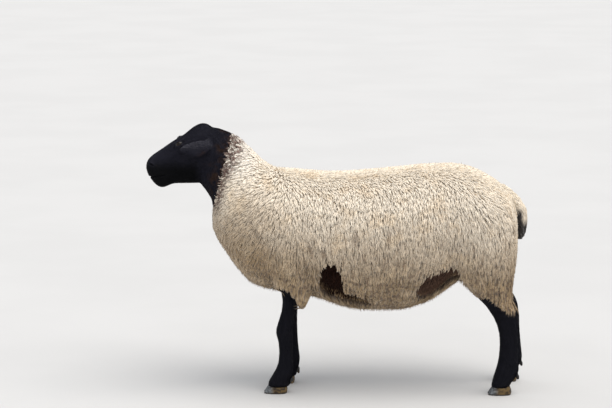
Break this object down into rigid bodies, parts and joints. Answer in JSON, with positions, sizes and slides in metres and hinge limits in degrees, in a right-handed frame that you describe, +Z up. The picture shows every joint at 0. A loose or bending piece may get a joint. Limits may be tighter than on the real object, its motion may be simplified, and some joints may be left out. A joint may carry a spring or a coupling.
{
  "type": "sheep",
  "caption": "Life-size standing Suffolk-type ewe in full wool, with a black raised head, black legs and a docked tail.",
  "frame": {"origin": "on the floor, under the middle of the whole animal", "axes": "+Z up; the animal stands along X and faces -X; its left side is towards -Y"},
  "size_m": [1.276, 0.4538, 0.9008],
  "materials": {
    "wool": "cream fleece in fine crimped locks, yellower and browner low down",
    "black_hair": "short flat black hair with a faint cool sheen, brownish where it meets the wool",
    "horn": "worn hoof horn, grey at the toe and amber at the side",
    "eye": "wet amber-brown eye with a level slit pupil"
  },
  "bodies": {
    "root": {"trunk": "wool", "neck": "wool", "tail": "wool", "throat": "black_hair", "head": "black_hair", "ear_left": "black_hair", "ear_right": "black_hair", "eye_left": "eye", "eye_right": "eye", "foreleg_left_upper": "wool", "foreleg_left_lower": "black_hair", "foreleg_left_claw_inner": "horn", "foreleg_left_claw_outer": "horn", "foreleg_left_dewclaw_inner": "horn", "foreleg_left_dewclaw_outer": "horn", "foreleg_right_upper": "wool", "foreleg_right_lower": "black_hair", "foreleg_right_claw_inner": "horn", "foreleg_right_claw_outer": "horn", "foreleg_right_dewclaw_inner": "horn", "foreleg_right_dewclaw_outer": "horn", "hindleg_left_upper": "wool", "hindleg_left_lower": "black_hair", "hindleg_left_claw_inner": "horn", "hindleg_left_claw_outer": "horn", "hindleg_left_dewclaw_inner": "horn", "hindleg_left_dewclaw_outer": "horn", "hindleg_right_upper": "wool", "hindleg_right_lower": "black_hair", "hindleg_right_claw_inner": "horn", "hindleg_right_claw_outer": "horn", "hindleg_right_dewclaw_inner": "horn", "hindleg_right_dewclaw_outer": "horn"}
  },
  "joints": []
}
